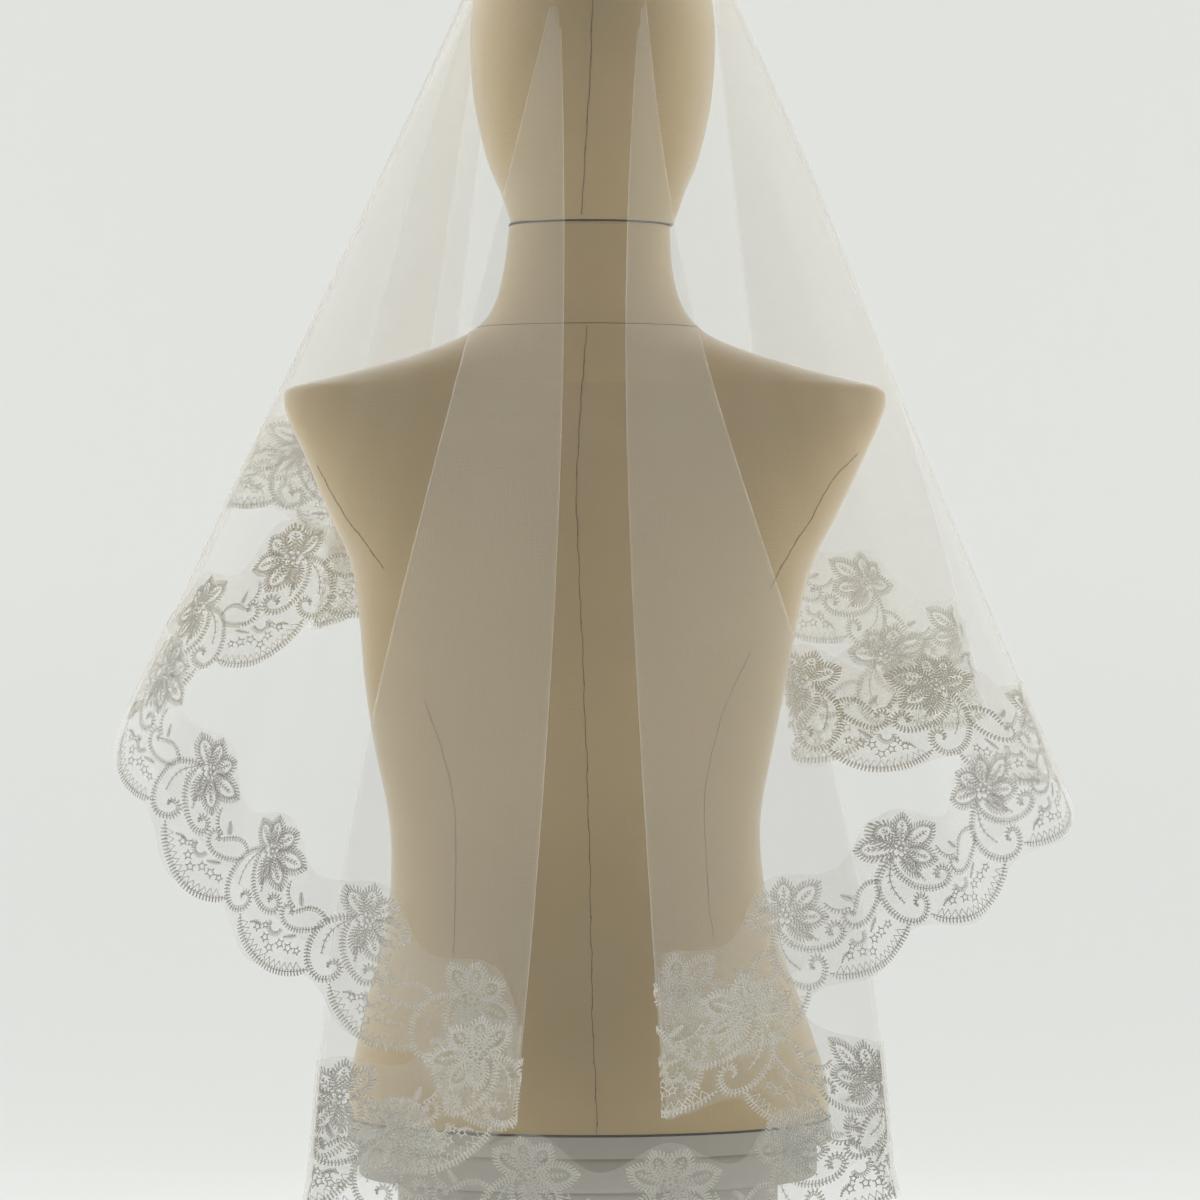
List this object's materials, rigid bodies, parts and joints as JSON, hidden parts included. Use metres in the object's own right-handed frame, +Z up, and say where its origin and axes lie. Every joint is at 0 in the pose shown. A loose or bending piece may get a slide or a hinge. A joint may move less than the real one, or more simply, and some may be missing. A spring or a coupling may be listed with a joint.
{
  "type": "bridal veil on a limbless dress form",
  "caption": "Lace-edged tulle bridal veil laid over a dress form's head, hanging in folds, longer at the back than the front.",
  "frame": {"origin": "on the plinth's flat underside, below the middle of the head", "axes": "+Z up; -Y is the form's back, with the veil's long panel; +X is to the right as seen from the back"},
  "size_m": [0.6147, 0.4551, 0.9451],
  "materials": {
    "tulle": "sheer matte net",
    "lace": "embroidered net, soft sheen",
    "canvas": "matte woven canvas",
    "head_canvas": "matte woven canvas",
    "base_grey": "satin",
    "plinth_grey": "satin"
  },
  "bodies": {
    "root": {"form_torso": "canvas", "form_head": "head_canvas", "form_cap": "base_grey", "form_plinth": "plinth_grey", "tulle_crown": "tulle", "tulle_back": "tulle", "tulle_back_fold_left": "tulle", "tulle_side_left": "tulle", "tulle_turn_left": "tulle", "tulle_pleat_left_1": "tulle", "tulle_pleat_left_2": "tulle", "tulle_pleat_left_3": "tulle", "tulle_front": "tulle", "tulle_pleat_right_1": "tulle", "tulle_turn_right": "tulle", "tulle_side_right": "tulle", "tulle_back_fold_right": "tulle", "lace_back": "lace", "lace_back_fold_left": "lace", "lace_side_left": "lace", "lace_turn_left": "lace", "lace_pleat_left_1": "lace", "lace_pleat_left_2": "lace", "lace_pleat_left_3": "lace", "lace_front": "lace", "lace_pleat_right_1": "lace", "lace_turn_right": "lace", "lace_side_right": "lace", "lace_back_fold_right": "lace"}
  },
  "joints": []
}
